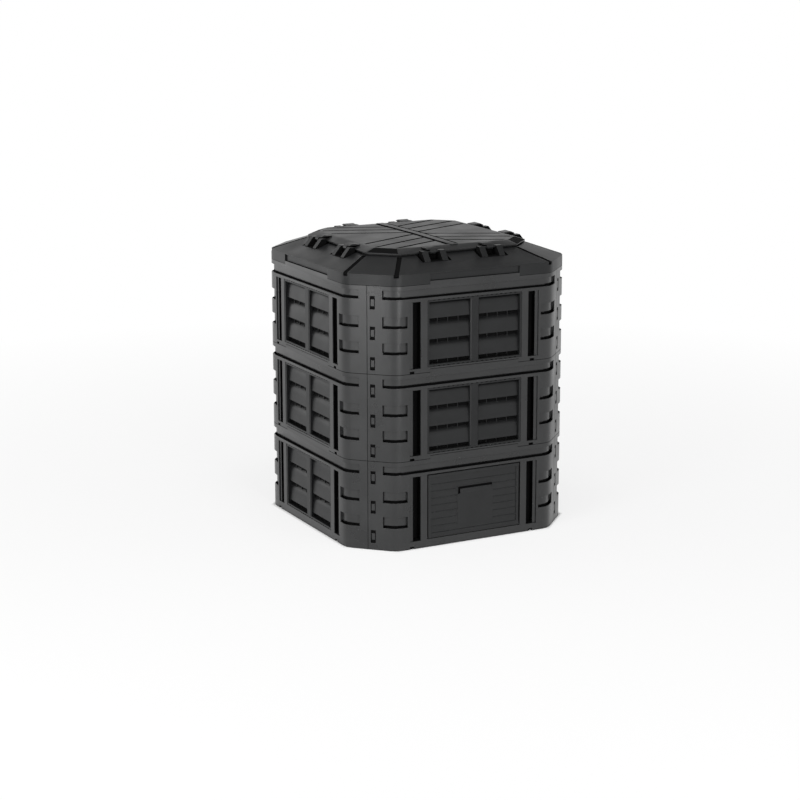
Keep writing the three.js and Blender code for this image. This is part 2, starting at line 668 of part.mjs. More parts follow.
function rimMiddle() {
  const half = TONGUE_HALF + SKIN;
  const back = RIM_STEP + SKIN - HALF;
  return join([
    block(-half, half, SKIN - SINK - HALF, back, WALL_TOP + GAP, RIM_TOP),
    block(-TONGUE_HALF, TONGUE_HALF, SKIN + GAP - HALF, back, WALL_TOP - LIP_DROP, WALL_TOP + GAP + SINK),
  ]);
}

function lidFrame() {
  const inset = SKIN * CORNER_TAN;
  const outer = loft([
    [HALF, FLAT, CORNER_RADIUS, WALL_TOP + GAP],
    [HALF, FLAT, CORNER_RADIUS, RIM_TOP],
    [SEAT_HALF, SEAT_FLAT, SEAT_RADIUS, SEAT_Z],
  ]);
  const hollow = loft([
    [HALF - SKIN, FLAT - inset, CORNER_RADIUS - SKIN, WALL_TOP - OVERRUN],
    [HALF - SKIN, FLAT - inset, CORNER_RADIUS - SKIN, RIM_TOP - SLOPE_SKIN],
    [SEAT_HALF, SEAT_FLAT, SEAT_RADIUS, SEAT_Z - SLOPE_SKIN],
  ]);
  const collar = loft([
    [MOUTH_HALF + SKIN, MOUTH_FLAT + inset, SEAT_RADIUS + SKIN, pocketFloor - POCKET_WALL],
    [MOUTH_HALF + SKIN, MOUTH_FLAT + inset, SEAT_RADIUS + SKIN, SEAT_Z - SINK],
  ]);
  const mouth = loft([
    [MOUTH_HALF, MOUTH_FLAT, SEAT_RADIUS, WALL_TOP],
    [MOUTH_HALF, MOUTH_FLAT, SEAT_RADIUS, SEAT_Z + OVERRUN],
  ]);
  const sides = [0, 1, 2, 3];
  const stations = [-CLIP_SPACING, CLIP_SPACING];
  const onEachSide = (make) => sides.flatMap((side) => make().map((body) => turned(body, side)));
  const pockets = onEachSide(() => stations.map(pocketBlock)).map((body) => body.intersect(outer));
  const shell = join([cut(outer, [hollow]), collar, ...pockets, ...onEachSide(() => [rimMiddle()])]);
  const opened = cut(shell, [
    mouth,
    ...onEachSide(() => stations.map(pocketRoom)),
    ...onEachSide(() => [-1, 1].flatMap((hand) => [hipGroove(hand), rimNotch(hand)])),
    ...onEachSide(() => [
      block(-TONGUE_HALF, TONGUE_HALF, -HALF - OVERRUN, RIM_STEP - HALF, WALL_TOP - OVERRUN, RIM_TOP - EAVE),
      block(-TONGUE_HALF - GAP, TONGUE_HALF + GAP, -HALF - OVERRUN, SKIN + GAP - HALF,
        WALL_TOP - OVERRUN, WALL_TOP + TONGUE_RISE + GAP),
    ]),
  ]);
  return join([opened, ...onEachSide(() => stations.map(clipEars))]);
}

// Hatch
const HATCH_EDGE = SEAT_HALF - HATCH_INSET;
const HATCH_FLAT = SEAT_FLAT - HATCH_INSET * CORNER_TAN;
const HATCH_FOOT = SEAT_Z + GAP;
const BEVEL_TOP = SEAT_Z + HATCH_SIDE + HATCH_BEVEL_RISE;
const CROWN_TOP = SEAT_Z + HATCH_HEIGHT - SPINE_RAISE;
const RINGS_BELOW_SIDE = 3;     // of the rings below: foot and undercut

function hatchRings(skin, lift) {
  const edge = HATCH_EDGE - skin;
  const edgeFlat = HATCH_FLAT - skin * CORNER_TAN;
  const shelf = HATCH_EDGE - HATCH_BEVEL_IN - skin;
  const shelfFlat = HATCH_FLAT - (HATCH_BEVEL_IN + skin) * CORNER_TAN;
  const radius = HATCH_RADIUS - skin;
  const shift = lift - skin;
  const crown = CROWN_TOP - BEVEL_TOP;
  const foot = edge - HATCH_UNDERCUT;
  const footFlat = edgeFlat - HATCH_UNDERCUT * CORNER_TAN;
  const drip = SEAT_Z + UNDERCUT_RISE + skin * CORNER_TAN;
  return [
    [foot, footFlat, radius, skin > 0 ? HATCH_FOOT - OVERRUN : HATCH_FOOT],
    [foot, footFlat, radius, drip - GAP],
    [edge, edgeFlat, radius, drip],
    [edge, edgeFlat, radius, SEAT_Z + HATCH_SIDE + shift],
    [shelf, shelfFlat, radius, BEVEL_TOP + shift],
    [shelf * CROWN_SHARE, shelfFlat * CROWN_SHARE, radius, BEVEL_TOP + crown * CROWN_RISE_SHARE + shift],
    [shelf * PLATEAU_SHARE, shelfFlat * PLATEAU_SHARE, radius * PLATEAU_SHARE, CROWN_TOP + shift],
  ];
}

function hatchHook(x, mouthHalf) {
  const bore = CLIP_PIN_RADIUS + PIN_CLEARANCE;
  const outer = bore + HOOK_RING;
  const ring = rod(outer, x - HOOK_HALF, x + HOOK_HALF, -PIN_Y, PIN_Z);
  const arm = block(x - HOOK_HALF, x + HOOK_HALF, -PIN_Y, LUG_LENGTH - PIN_Y,
    PIN_Z + bore, PIN_Z + outer);
  const room = rod(bore, x - HOOK_HALF - OVERRUN, x + HOOK_HALF + OVERRUN, -PIN_Y, PIN_Z);
  const mouth = block(x - HOOK_HALF - OVERRUN, x + HOOK_HALF + OVERRUN,
    -PIN_Y - mouthHalf, mouthHalf - PIN_Y, PIN_Z - outer - OVERRUN, PIN_Z);
  return cut(join([ring, arm]), [room, mouth]);
}

function hatchLug(x) {
  const top = PIN_Z + CLIP_PIN_RADIUS + PIN_CLEARANCE + HOOK_RING;
  const outline = [
    [-PIN_Y, top - SINK],
    [-PIN_Y, top],
    [-HATCH_EDGE, top + LUG_RISE],
    [LUG_LENGTH - PIN_Y, BEVEL_TOP + SINK],
    [LUG_LENGTH - PIN_Y, top - SINK],
  ];
  return sideways(outline, x - LUG_HALF, x + LUG_HALF);
}

// The body under the bevel and the crown, raised or lowered
function underCrown(lift) {
  const upper = hatchRings(0, lift).slice(RINGS_BELOW_SIDE);
  return loft([[HATCH_EDGE, HATCH_FLAT, HATCH_RADIUS, SEAT_Z - OVERRUN], ...upper]);
}

// Bars along the spine's sides and along the veins that leave it, wider by the spread
// on each side, down to a depth under the crown
function veinBars(spread, depth) {
  const inset = HATCH_BEVEL_IN + VEIN_MARGIN - spread;
  const edge = HATCH_EDGE - inset;
  const edgeFlat = HATCH_FLAT - inset * CORNER_TAN;
  const zone = loft([
    [edge, edgeFlat, HATCH_RADIUS, SEAT_Z],
    [edge, edgeFlat, HATCH_RADIUS, CROWN_TOP + OVERRUN],
  ]);
  const width = VEIN_WIDTH + 2 * spread;
  const bars = [];
  for (const side of [-1, 1]) {
    const along = new THREE.BoxGeometry(width, 2 * HATCH_EDGE, HATCH_HEIGHT);
    along.translate(side * (SPINE_HALF + VEIN_WIDTH / 2), 0, CROWN_TOP);
    bars.push(solid(along));
    for (const start of VEIN_STARTS) {
      for (const end of [-1, 1]) {
        const geometry = new THREE.BoxGeometry(HATCH_EDGE, width, HATCH_HEIGHT);
        geometry.translate(HATCH_EDGE / 2, 0, CROWN_TOP);
        geometry.rotateZ(end * VEIN_ANGLE);
        geometry.translate(0, end * start, 0);
        if (side < 0) geometry.rotateZ(Math.PI);
        bars.push(solid(geometry));
      }
    }
  }
  return cut(join(bars).intersect(zone), [underCrown(-depth)]);
}

function hatch() {
  const outer = loft(hatchRings(0, 0));
  const ribs = veinBars(HATCH_SKIN, VEIN_DEPTH + HATCH_SKIN);
  const hollow = cut(loft(hatchRings(HATCH_SKIN, 0)), [ribs]);
  const bar = block(-SPINE_HALF, SPINE_HALF, -HATCH_EDGE, HATCH_EDGE, BEVEL_TOP, SEAT_Z + HATCH_HEIGHT);
  const spine = bar.intersect(loft(hatchRings(0, SPINE_RAISE)));
  const grooves = cut(veinBars(0, VEIN_DEPTH), [
    block(-SPINE_HALF, SPINE_HALF, -HATCH_EDGE, HATCH_EDGE, SEAT_Z, SEAT_Z + HATCH_HEIGHT),
  ]);
  const fittings = [];
  for (let side = 0; side < 4; side += 1) {
    const mouthHalf = FACES[side] === 'back' ? HINGE_MOUTH / 2 : CLIP_PIN_RADIUS + PIN_CLEARANCE;
    for (const x of [-CLIP_SPACING, CLIP_SPACING]) {
      fittings.push(turned(hatchLug(x), side), turned(hatchHook(x, mouthHalf), side));
    }
  }
  return cut(join([outer, spine, ...fittings]), [hollow, grooves]);
}

// Materials
function plastic(color, roughness) {
  return new THREE.MeshStandardMaterial({ color, roughness, metalness: 0 });
}

const wallPlastic = () => plastic(0x2b2c2d, 0.55);
const ventPlastic = () => plastic(0x262728, 0.6);
const flapPlastic = () => plastic(0x2d2e2f, 0.5);
const lidPlastic = () => plastic(0x242526, 0.5);
const hatchPlastic = () => plastic(0x303132, 0.45);

// Assembly
function place(parent, name, geometry, material, z = 0) {
  const mesh = new THREE.Mesh(geometry, material);
  mesh.name = name;
  mesh.position.z = z;
  parent.add(mesh);
}

const bin = new THREE.Group();
const baseHeight = TIER_PITCH + BASE_EXTRA;
const bottomPanel = toGeometry(wallPanel({ height: baseHeight, stacked: false, forFlap: false }));
const flapPanel = toGeometry(wallPanel({ height: baseHeight, stacked: false, forFlap: true }));
const stackedPanel = toGeometry(wallPanel({ height: TIER_PITCH, stacked: true, forFlap: false }));
const insert = toGeometry(ventInsert());

FACES.forEach((face, side) => {
  const wall = new THREE.Group();
  wall.rotation.z = side * Math.PI / 2;
  bin.add(wall);
  TIERS.forEach((tier, level) => {
    const bottom = level === 0;
    const holdsFlap = bottom && face === 'front';
    const z = bottom ? 0 : BASE_EXTRA + level * TIER_PITCH;
    const height = bottom ? baseHeight : TIER_PITCH;
    const panel = bottom ? bottomPanel : stackedPanel;
    place(wall, `wall_${tier}_${face}`, holdsFlap ? flapPanel : panel, wallPlastic(), z);
    if (holdsFlap) {
      place(wall, 'emptying_flap', toGeometry(emptyingFlap(height)), flapPlastic(), z);
    } else {
      const foot = z + height - WINDOW_TOP - WINDOW_HEIGHT;
      place(wall, `vent_${tier}_${face}`, insert, ventPlastic(), foot);
    }
  });
});

place(bin, 'lid_frame', toGeometry(lidFrame()), lidPlastic());
place(bin, 'hatch', toGeometry(hatch()), hatchPlastic());

export default bin;
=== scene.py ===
# Modular garden compost bin with a lid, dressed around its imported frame. Metres, +Z up,
# origin under the middle of the footprint, front face towards -Y.
import math

import bmesh
import bpy
from mathutils import Matrix, Vector


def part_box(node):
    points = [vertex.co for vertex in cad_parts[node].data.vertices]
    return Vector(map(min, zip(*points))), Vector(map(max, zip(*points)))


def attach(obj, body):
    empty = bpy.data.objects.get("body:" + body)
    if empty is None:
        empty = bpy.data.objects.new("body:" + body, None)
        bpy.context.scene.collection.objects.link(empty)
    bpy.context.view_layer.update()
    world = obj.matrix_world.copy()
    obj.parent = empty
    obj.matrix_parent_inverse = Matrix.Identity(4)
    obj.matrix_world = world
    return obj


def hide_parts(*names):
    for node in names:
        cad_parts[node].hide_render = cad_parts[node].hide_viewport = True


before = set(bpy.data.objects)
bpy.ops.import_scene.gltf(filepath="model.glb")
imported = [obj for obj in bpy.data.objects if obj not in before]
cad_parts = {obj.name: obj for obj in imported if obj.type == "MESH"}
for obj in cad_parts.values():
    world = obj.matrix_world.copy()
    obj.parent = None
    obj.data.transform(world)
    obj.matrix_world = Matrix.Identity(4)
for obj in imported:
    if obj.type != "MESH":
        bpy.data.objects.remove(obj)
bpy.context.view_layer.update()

MM = 0.001
DIAGONAL = math.sqrt(0.5)       # what a diagonal step of 1 covers along each axis
CORNER_TURN = math.pi / 4       # from a flat side to the cut corner beside it
SHOWN = 0                       # the places of the two materials in every dressed mesh: the plastic, and a near-black one that paints shade
PAINTED_SHADE = 1

# Camera, at the photograph's viewing angle
AZIMUTH = math.radians(-28.04)
ELEVATION = math.radians(12.52)
DISTANCE = 7.914
LENS = 91.6
SENSOR = 36
CLIP_END = 60
AIM_HEIGHT = 0.55
SHIFT_X = -0.0195
SHIFT_Y = -0.0342

# Studio: a round sweep whose floor is seen as plain white, a pale world and four lights
SWEEP_RADIUS = 15.0
SWEEP_COVE = 3.0
SWEEP_HEIGHT = 8.0
SWEEP_SIDES = 48
COVE_STEPS = 6
FLOOR_GREY = 0.9
WHITE = (1, 1, 1, 1)
WHITE_START = 0.462             # the floor shows no white from here inwards, under the bin
WHITE_FULL = 0.48
WHITE_FAR = 4.0                 # and nothing but white from here outwards
WHITE_NEAR_SHARE = 0.8          # white's share in the floor beside the bin
WORLD_STRENGTH = 0.30
# angles in degrees, power in watts
SOFTBOXES = {
    "key": {"azimuth": -62, "elevation": 14, "distance": 4.6, "width": 1.7, "height": 2.6, "power": 95},
    "side": {"azimuth": -148, "elevation": 12, "distance": 4.6, "width": 1.3, "height": 2.6, "power": 12},
    "front": {"azimuth": -6, "elevation": 12, "distance": 4.6, "width": 0.8, "height": 2.6, "power": 62},
    "top": {"azimuth": -20, "elevation": 74, "distance": 4.2, "width": 1.6, "height": 1.2, "power": 50},
}

# Walls, as the frame has them
FACES = ("front", "right", "back", "left")
HALF = 465 * MM
FLAT = 325 * MM
CORNER_RADIUS = 60 * MM
CORNER_REACH = 45 * MM
CORNER_ZONE = 27 * MM           # a cut corner's faces lie within this of it, in x and y added
SKIN = 4 * MM
RECESS = 9 * MM
TAB_FACE = 4.3 * MM
LEDGE_FACE = 3.6 * MM
LEDGE_END = 207 * MM
PANEL_TOPS = {"bottom": 337 * MM, "middle": 662.5 * MM, "top": 988 * MM}
PANEL_FEET = {"bottom": 0, "middle": PANEL_TOPS["bottom"], "top": PANEL_TOPS["middle"]}
SEAM_OFFSET = 13 * MM           # from the cut corner's middle
TONGUE_HALF = 187 * MM
TONGUE_RISE = 12 * MM
BLOCK_FACE_END = 280 * MM
BLOCK_FEET = (149 * MM, 245 * MM)   # from a panel's top edge down, as the next two
BAND_FOOT = 43.5 * MM
CHANNEL_DROP = 62 * MM
CHANNEL_HEIGHT = 246.5 * MM
CHANNEL_OUTER = 271 * MM
BAFFLE_DEPTH = 36 * MM
BAFFLE_END = (215.5 * MM, 218 * MM)
KEY_LEFT = (-271 * MM, -252 * MM)
KEY_RIGHT = (235 * MM, 254 * MM)
INNER_DEPTH = 14.5 * MM         # surfaces further in than this get the near-black painted shade
LAYER = 0.3 * MM                # faces nearer to each other than this are in one layer

# Lid frame and hatch, as the frame has them
RIM_TOP = 1029 * MM
SEAT_Z = 1073.5 * MM
SEAT_HALF = 344 * MM
SEAT_FLAT = 249 * MM
GROOVE_REACH = 11 * MM          # a hip groove's faces lie within this of the hip
GROOVE_FLOOR = 3.2 * MM         # and its floor lower than the hip by more than this
NOTCH_REACH = 14 * MM
NOTCH_DEPTH = 5.8 * MM
NOTCH_HEIGHT = 11 * MM
NOTCH_FOOT = RIM_TOP - NOTCH_HEIGHT
CLIP_SPACING = 120 * MM
POCKET_HALF = 60 * MM
POCKET_START = 328 * MM
POCKET_END = 394 * MM
EAR_SPAN = (24 * MM, 50 * MM)   # from a clip's middle
BEVEL_TOP = 1096 * MM
CROWN_EDGE = 300 * MM
VEIN_FLOOR_DROP = 2 * MM        # a floor in the crown further below the bevel's top is a vein's
VEIN_SIDE_DROP = 8 * MM         # an upright face that is no further below it is a vein's
STRAIGHT = 0.9                  # a face looks straight along an axis with this much of its normal,
TILTED = 0.5                    # looks up or down at all with this much,
UPRIGHT = 0.3                   # and stands upright with less than this much up or down

# Hoods behind the open slots
LOUVRE_SLOT = 6 * MM
HOOD_ROOM = 8 * MM
HOOD_DROP = 12 * MM
HOOD_THICK = 3 * MM
ARC_STEPS = 6

# Lips in the channels, screens behind the key notches and the rim's drain notches
LIP_THICK = 2.5 * MM
LIP_LAP = 3 * MM
CORNER_LIP = 14 * MM
SCREEN_DEPTH = 9 * MM
SCREEN_THICK = 3 * MM
SCREEN_DROP = 14 * MM
SCREEN_RISE = 12 * MM
RIM_SCREEN_DEPTH = 9.5 * MM     # behind the rounded edge
RIM_SCREEN_HALF = 15 * MM
RIM_SCREEN_FOOT = 18 * MM       # from the rim's top edge down, as the next
RIM_SCREEN_TOP = 5 * MM

# Vent insert
FLANGE_FACE = 1.2 * MM
FLANGE_THICK = 2.2 * MM
FLANGE_BACK = FLANGE_FACE + FLANGE_THICK
DASH_PITCH = 20 * MM
DASH_LENGTH = 9 * MM
DASH_DEPTH = 2.6 * MM
BORDER = 8 * MM
MULLION_HALF = 18 * MM
MULLION_CHAMFER = 4 * MM
LOUVRE_ROWS = 3
LOUVRE_DROP_SHARE = 0.8
BLADE_THICK = 3 * MM
BLADE_DEPTHS = (24 * MM, 19.5 * MM, 16.5 * MM, 14.4 * MM, 12.8 * MM, 11.5 * MM, 10.4 * MM, 9.5 * MM)
BLADE_FALL_SHARES = (0, 0.07, 0.14, 0.23, 0.34, 0.5, 0.75, 1)
RIDGE_DEPTH = BLADE_DEPTHS[0]
UPSTAND = 12 * MM
INSERT_DEPTH = 28 * MM
REVEAL_THICK = 2 * MM
FINS = 3
FIN_THICK = 2.2 * MM
FIN_FRONT = 19.5 * MM
FIN_BACK = 27 * MM

# Emptying flap: frame, sunk field and ribs
AXIS_DEPTH = 3.7 * MM
AXIS_HEIGHT = 34.6 * MM
BARREL_RADIUS = 3.5 * MM
BARREL_HALF = 192.4 * MM
HINGE_STRIP_FACE = 0.8 * MM
FLAP_PIN_RADIUS = 2.5 * MM
FLAP_PIN_END = 203 * MM
ROD_SIDES = 16
FLAP_HALF = 194 * MM
FLAP_BORDER = 12 * MM
FLAP_BACK = 3.3 * MM
FLAP_CHAMFER = 2.2 * MM
CHAMFER_BEND_SHARE = 0.35
FLAP_FOOT = AXIS_HEIGHT + BARREL_RADIUS
FIELD_FOOT = FLAP_FOOT + FLAP_BORDER
FIELD_HALF = FLAP_HALF - FLAP_BORDER
FIELD_FACE = 2.6 * MM
FIELD_BACK = 4.8 * MM
FLAP_RIBS = 7
RIB_HALF = 2 * MM
RIB_RAISE = 2.2 * MM
RIB_CREST_SHARE = 0.4

# Its finger grip and bare square
GRIP_LEFT = -68 * MM
GRIP_RIGHT = 78 * MM
GRIP_DROP = 60 * MM             # from the flap's top edge down
GRIP_HEIGHT = 28 * MM
GRIP_DEPTH = 9 * MM
GRIP_ROOF = 10 * MM
GRIP_SIDE = 10 * MM
GRIP_WALL = 2.5 * MM
RAMP_BEND_SHARE = 0.45
PLAQUE_LEFT = -71 * MM
PLAQUE_RIGHT = 81 * MM
PLAQUE_DROP = 210 * MM          # from the flap's top edge down to the square's foot
PLAQUE_FACE = 1.6 * MM

# Shading
SMOOTH_ANGLE = math.radians(32)
WELD_GAP = 0.01 * MM
EDGE_RADIUS = 1.7 * MM
FINE_RADIUS = 0.7 * MM
EDGE_SAMPLES = 4
JOINT_CORE = 0.45 * MM          # the dark line along a joint is full to here from its middle
JOINT_END = 1.35 * MM           # and has faded out here
CLOUD_SCALE = 9.0
CLOUD_DETAIL = 5.0
CLOUD_SPAN = (0.3, 0.7)         # of the noise, from no cloud to a full one
CLOUD_TONE_SHARE = 0.16         # the colour varies by this share
SHEEN_SPREAD = 0.05
PATCH_SCALE = 24.0
PATCH_DETAIL = 6.0
PATCH_SPAN = (0.35, 0.7)        # of the noise, from least dust to most
PATCH_LEAST_SHARE = 0.4         # of the dust, left between its patches
DUST = (0.075, 0.073, 0.07)
DUST_SPAN = (0.2, 1)            # of the normal's upward part, from no dust to most
GRAIN_SCALE = 900.0
GRAIN_DETAIL = 2.0
GRAIN_HEIGHT = 0.10 * MM
GRAIN_STRENGTH = 0.5
# near-black colour, blended in as painted shade where recesses hem the surface in, and along the dark
# joints
SHADE_AND_JOINT_COLOR = (0.0022, 0.0022, 0.0022)
SHADE_REACH = 16 * MM
SHADE_START = 0.62              # openness under which painted shade begins
SHADE_FULL = 0.22
SHADE_SAMPLES = 5
# dust is its share on level faces, and a shade start of zero stands for no painted shade at all
LOOKS = {
    "wall_plastic_look": {"color": (0.018, 0.0185, 0.019), "roughness": 0.31, "specular": 0.5,
                          "dust": 0.12, "shade_start": 0.5, "joints": True},
    "vent_plastic_look": {"color": (0.009, 0.0095, 0.010), "roughness": 0.40, "specular": 0.30,
                          "dust": 0.10, "edge_radius": FINE_RADIUS},
    "flap_plastic_look": {"color": (0.012, 0.0125, 0.013), "roughness": 0.40, "specular": 0.34,
                          "dust": 0.10, "edge_radius": FINE_RADIUS, "shade_start": 0.35},
    "lid_plastic_look": {"color": (0.008, 0.0085, 0.009), "roughness": 0.42, "specular": 0.32,
                         "dust": 0.05},
    "hatch_plastic_look": {"color": (0.011, 0.0115, 0.012), "roughness": 0.42, "specular": 0.30,
                           "dust": 0.10},
    # near-black and barely glossy: painted shade for hollows, slots and screens
    "painted_shade_look": {"color": (0.0035, 0.0035, 0.0036), "roughness": 0.85, "specular": 0.08,
                        "dust": 0, "shade_start": 0},
}


# Camera and lights
def direction(azimuth, elevation):
    """Away from the bin, with the azimuth counted from the front towards +X"""
    return Vector((math.sin(azimuth) * math.cos(elevation),
                   -math.cos(azimuth) * math.cos(elevation),
                   math.sin(elevation)))


def aim(thing, away, distance):
    thing.location = Vector((0, 0, AIM_HEIGHT)) + away * distance
    thing.rotation_euler = away.to_track_quat("Z", "Y").to_euler()


def add_camera():
    data = bpy.data.cameras.new("photo_view")
    data.lens = LENS
    data.sensor_width = SENSOR
    data.shift_x = SHIFT_X
    data.shift_y = SHIFT_Y
    data.clip_end = CLIP_END
    camera = bpy.data.objects.new("photo_view", data)
    bpy.context.scene.collection.objects.link(camera)
    aim(camera, direction(AZIMUTH, ELEVATION), DISTANCE)
    bpy.context.scene.camera = camera


def add_world():
    world = bpy.data.worlds.new("studio")
    bpy.context.scene.world = world
    world.use_nodes = True
    background = world.node_tree.nodes["Background"]
    background.inputs["Color"].default_value = WHITE
    background.inputs["Strength"].default_value = WORLD_STRENGTH


def add_softbox(name, azimuth, elevation, distance, width, height, power):
    data = bpy.data.lights.new(name, "AREA")
    data.shape = "RECTANGLE"
    data.size = width
    data.size_y = height
    data.energy = power
    lamp = bpy.data.objects.new(name, data)
    bpy.context.scene.collection.objects.link(lamp)
    aim(lamp, direction(math.radians(azimuth), math.radians(elevation)), distance)
    lamp.visible_camera = False


# Shader nodes
def new_material(name):
    material = bpy.data.materials.new(name)
    material.use_nodes = True
    material.node_tree.nodes.clear()
    return material


def calculate(tree, operation, first, second=0):
    node = tree.nodes.new("ShaderNodeMath")
    node.operation = operation
    for socket, value in zip(node.inputs, (first, second)):
        if isinstance(value, (int, float)):
            socket.default_value = value
        else:
            tree.links.new(value, socket)
    return node.outputs[0]


def remap(tree, source, start, end, low=0, high=1):
    node = tree.nodes.new("ShaderNodeMapRange")
    node.inputs["From Min"].default_value = start
    node.inputs["From Max"].default_value = end
    node.inputs["To Min"].default_value = low
    node.inputs["To Max"].default_value = high
    tree.links.new(source, node.inputs["Value"])
    return node.outputs["Result"]


def change_vector(tree, operation, source):
    node = tree.nodes.new("ShaderNodeVectorMath")
    node.operation = operation
    tree.links.new(source, node.inputs[0])
    return node


def separate(tree, source):
    node = tree.nodes.new("ShaderNodeSeparateXYZ")
    tree.links.new(source, node.inputs[0])
    return node.outputs


def noise(tree, scale, detail):
    coords = tree.nodes.new("ShaderNodeTexCoord")
    node = tree.nodes.new("ShaderNodeTexNoise")
    node.inputs["Scale"].default_value = scale
    node.inputs["Detail"].default_value = detail
    tree.links.new(coords.outputs["Object"], node.inputs["Vector"])
    return node.outputs["Fac"]


def blend_colors(tree, factor, first, second):
    node = tree.nodes.new("ShaderNodeMix")
    node.data_type = "RGBA"
    tree.links.new(factor, node.inputs["Factor"])
    for socket, value in ((node.inputs["A"], first), (node.inputs["B"], second)):
        if isinstance(value, tuple):
            socket.default_value = (*value, 1)
        else:
            tree.links.new(value, socket)
    return node.outputs["Result"]


def blend_shaders(tree, factor, first, second):
    node = tree.nodes.new("ShaderNodeMixShader")
    tree.links.new(factor, node.inputs["Fac"])
    tree.links.new(first, node.inputs[1])
    tree.links.new(second, node.inputs[2])
    return node.outputs[0]


# Sweep
def sweep_mesh():
    mesh = bmesh.new()
    floor_radius = SWEEP_RADIUS - SWEEP_COVE
    profile = [(floor_radius, 0)]
    for step in range(1, COVE_STEPS + 1):
        turn = math.pi / 2 * step / COVE_STEPS
        profile.append((floor_radius + SWEEP_COVE * math.sin(turn),
                        SWEEP_COVE - SWEEP_COVE * math.cos(turn)))
    profile.append((SWEEP_RADIUS, SWEEP_HEIGHT))
    angles = [math.tau * i / SWEEP_SIDES for i in range(SWEEP_SIDES)]
    rings = []
    for radius, z in profile:
        rings.append([mesh.verts.new((radius * math.cos(a), radius * math.sin(a), z)) for a in angles])
    mesh.faces.new(rings[0])
    for low, high in zip(rings, rings[1:]):
        for i in range(SWEEP_SIDES):
            j = (i + 1) % SWEEP_SIDES
            mesh.faces.new((low[i], low[j], high[j], high[i]))
    data = bpy.data.meshes.new("studio_sweep")
    mesh.to_mesh(data)
    mesh.free()
    return data


def seen_directly(tree):
    """A value that is 1 on camera, glossy and transmission rays"""
    path = tree.nodes.new("ShaderNodeLightPath")
    first = calculate(tree, "MAXIMUM", path.outputs["Is Camera Ray"], path.outputs["Is Glossy Ray"])
    return calculate(tree, "MAXIMUM", first, path.outputs["Is Transmission Ray"])


def octagon_distance(tree, place):
    """A value that is the same all along any octagon of the bin's outline"""
    x, y, _ = separate(tree, change_vector(tree, "ABSOLUTE", place).outputs["Vector"])
    both = calculate(tree, "ADD", x, y)
    widest = calculate(tree, "MAXIMUM", x, y)
    return calculate(tree, "MAXIMUM", widest, calculate(tree, "SUBTRACT", both, FLAT))


def sweep_material():
    material = new_material("sweep_pale")
    tree = material.node_tree
    output = tree.nodes.new("ShaderNodeOutputMaterial")
    lit = tree.nodes.new("ShaderNodeBsdfDiffuse")
    lit.inputs["Color"].default_value = (FLOOR_GREY, FLOOR_GREY, FLOOR_GREY, 1)
    white = tree.nodes.new("ShaderNodeEmission")
    white.inputs["Strength"].default_value = 1
    place = tree.nodes.new("ShaderNodeTexCoord").outputs["Object"]
    away = change_vector(tree, "LENGTH", place).outputs["Value"]
    outside = remap(tree, octagon_distance(tree, place), WHITE_START, WHITE_FULL)
    fade = remap(tree, away, WHITE_FULL, WHITE_FAR, WHITE_NEAR_SHARE)
    share = calculate(tree, "MULTIPLY", outside, fade)
    share = calculate(tree, "MULTIPLY", share, seen_directly(tree))
    blend = blend_shaders(tree, share, lit.outputs[0], white.outputs[0])
    tree.links.new(blend, output.inputs["Surface"])
    return material


def add_sweep():
    mesh = sweep_mesh()
    mesh.materials.append(sweep_material())
    sweep = bpy.data.objects.new("studio_sweep", mesh)
    bpy.context.scene.collection.objects.link(sweep)


# Moulded plastic: fine grain, uneven sheen, a little dust, painted shade in the recesses and dark joints
def dusty_color(tree, cloud, color, dust):
    pale = tuple(c * (1 + CLOUD_TONE_SHARE) for c in color)
    deep = tuple(c * (1 - CLOUD_TONE_SHARE) for c in color)
    tone = blend_colors(tree, cloud, deep, pale)
    surface = tree.nodes.new("ShaderNodeNewGeometry")
    _, _, rise = separate(tree, surface.outputs["Normal"])
    upward = remap(tree, rise, *DUST_SPAN, high=dust)
    patch = remap(tree, noise(tree, PATCH_SCALE, PATCH_DETAIL), *PATCH_SPAN, low=PATCH_LEAST_SHARE)
    return blend_colors(tree, calculate(tree, "MULTIPLY", upward, patch), tone, DUST)


def grained_normal(tree, edge_radius):
    edges = tree.nodes.new("ShaderNodeBevel")
    edges.samples = EDGE_SAMPLES
    edges.inputs["Radius"].default_value = edge_radius
    bump = tree.nodes.new("ShaderNodeBump")
    bump.inputs["Strength"].default_value = GRAIN_STRENGTH
    bump.inputs["Distance"].default_value = GRAIN_HEIGHT
    tree.links.new(noise(tree, GRAIN_SCALE, GRAIN_DETAIL), bump.inputs["Height"])
    tree.links.new(edges.outputs["Normal"], bump.inputs["Normal"])
    return bump.outputs["Normal"]


def joint_lines(tree):
    """A value that is 1 along the corner seams and the joints between the tiers"""
    surface = tree.nodes.new("ShaderNodeNewGeometry")
    x, y, z = separate(tree, surface.outputs["Position"])
    across = calculate(tree, "MINIMUM", calculate(tree, "ABSOLUTE", x), calculate(tree, "ABSOLUTE", y))
    on_tongue = calculate(tree, "LESS_THAN", across, TONGUE_HALF)
    height = calculate(tree, "SUBTRACT", z, calculate(tree, "MULTIPLY", on_tongue, TONGUE_RISE))
    towards_x = calculate(tree, "MULTIPLY", x, calculate(tree, "SIGN", y))
    towards_y = calculate(tree, "MULTIPLY", y, calculate(tree, "SIGN", x))
    along = calculate(tree, "MULTIPLY", calculate(tree, "SUBTRACT", towards_x, towards_y), DIAGONAL)
    nearest = calculate(tree, "ABSOLUTE", calculate(tree, "SUBTRACT", along, SEAM_OFFSET))
    for top in PANEL_TOPS.values():
        away = calculate(tree, "ABSOLUTE", calculate(tree, "SUBTRACT", height, top))
        nearest = calculate(tree, "MINIMUM", nearest, away)
    return remap(tree, nearest, JOINT_END, JOINT_CORE)


